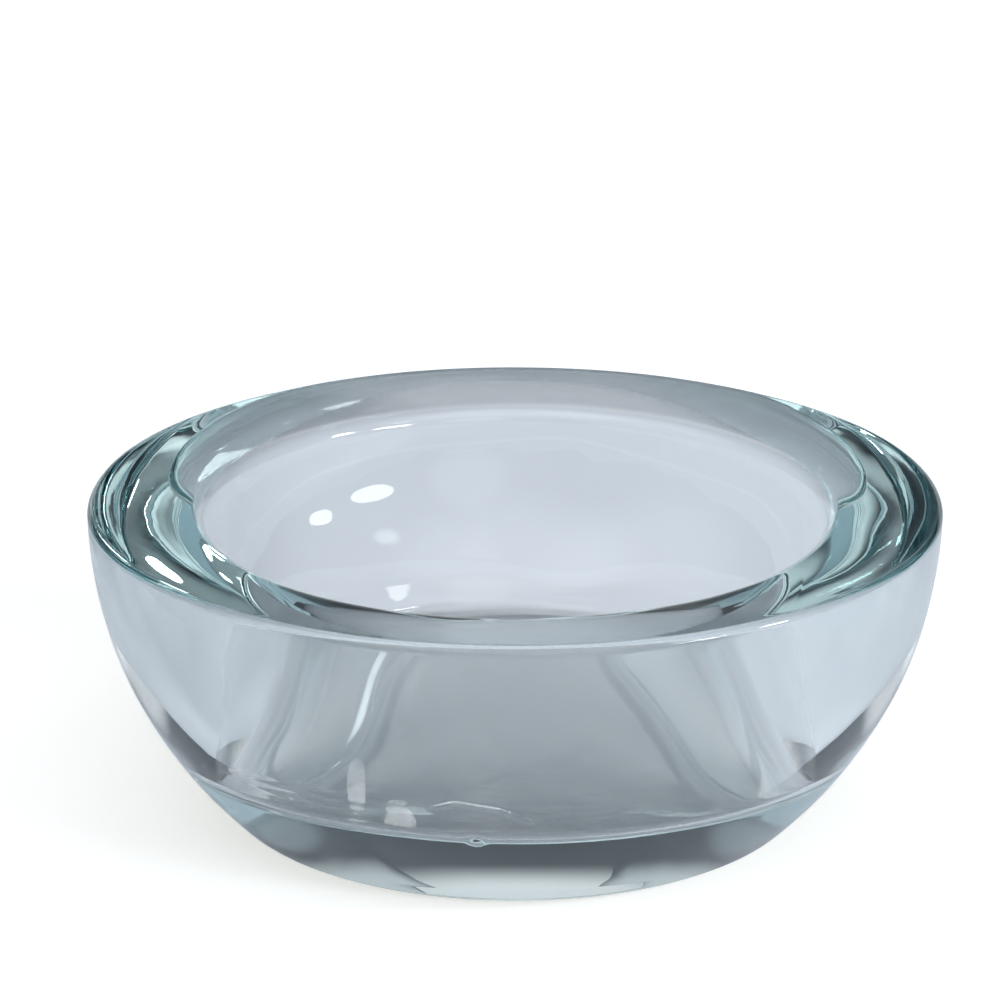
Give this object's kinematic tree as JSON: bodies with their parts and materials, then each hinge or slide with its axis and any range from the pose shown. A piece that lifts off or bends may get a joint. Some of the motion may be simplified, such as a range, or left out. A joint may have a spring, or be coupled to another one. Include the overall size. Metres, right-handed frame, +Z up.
{
  "type": "glass candle bowl",
  "caption": "Low round bowl of thick clear pressed glass with a broad flat rim, a round outer wall and a steep-walled hollow that holds a small candle or water.",
  "frame": {"origin": "centre of the flat base, on the surface that the bowl stands on", "axes": "+Z up along the axis that the bowl is turned about, from the base to the mouth; X and Y are free"},
  "size_m": [0.09, 0.09, 0.0334],
  "materials": {
    "glass": "clear pressed glass, fire-polished"
  },
  "bodies": {
    "root": {"bowl": "glass"}
  },
  "joints": []
}
